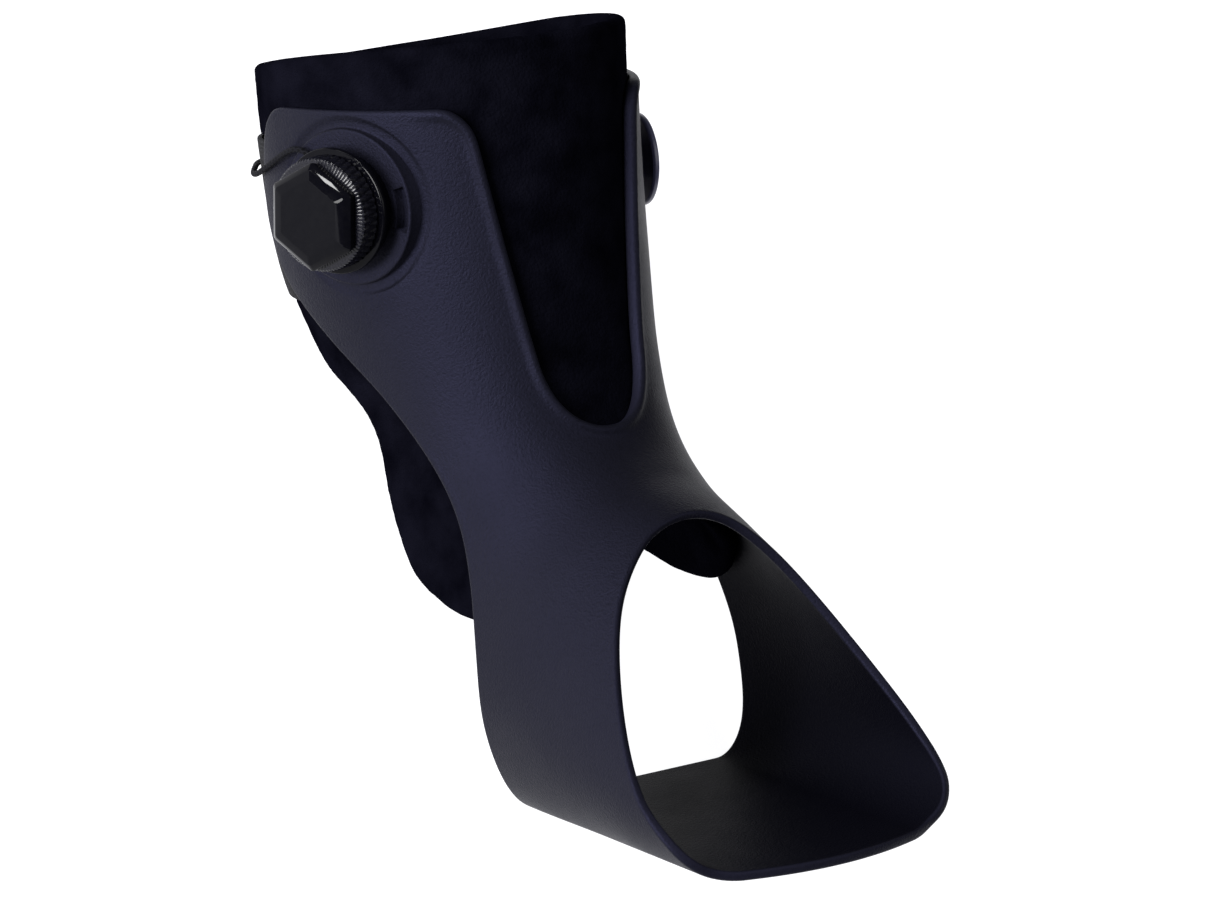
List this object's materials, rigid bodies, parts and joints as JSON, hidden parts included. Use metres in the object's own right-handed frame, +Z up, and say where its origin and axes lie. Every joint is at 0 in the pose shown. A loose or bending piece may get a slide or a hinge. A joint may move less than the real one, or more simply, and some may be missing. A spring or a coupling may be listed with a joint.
{
  "type": "foot drop brace",
  "caption": "Rigid front-shell ankle and foot brace with a foot loop, padded calf liner, rear strap and a lace tightened by a ratchet dial.",
  "frame": {"origin": "on the resting surface, under the centre of the bounding box of the brace lying on its back", "axes": "+Z up from the resting surface, +Y from the toes towards the calf, +X across from the dial's wing to the other wing"},
  "size_m": [0.148, 0.341, 0.1417],
  "materials": {
    "shell": "dark blue-grey moulded plastic with a fine matt grain",
    "liner": "black looped pile over foam",
    "strap": "black woven band",
    "dial_gloss": "polished black plastic",
    "dial_grip": "black knurled ring",
    "button": "dark grey satin plastic",
    "lace": "dark braided cord"
  },
  "bodies": {
    "brace": {"shell": "shell", "liner": "liner", "calf_strap": "strap", "dial_base": "dial_gloss", "far_button": "button", "lace": "lace"},
    "knob": {"dial_grip": "dial_grip", "dial_cap": "dial_gloss"}
  },
  "joints": [
    {"name": "dial_turn", "type": "hinge", "parent": "brace", "child": "knob", "pos_m": [-0.04913, 0.09145, 0.07677], "axis": [-0.9592, -0.1915, 0.2079], "continuous": true}
  ]
}
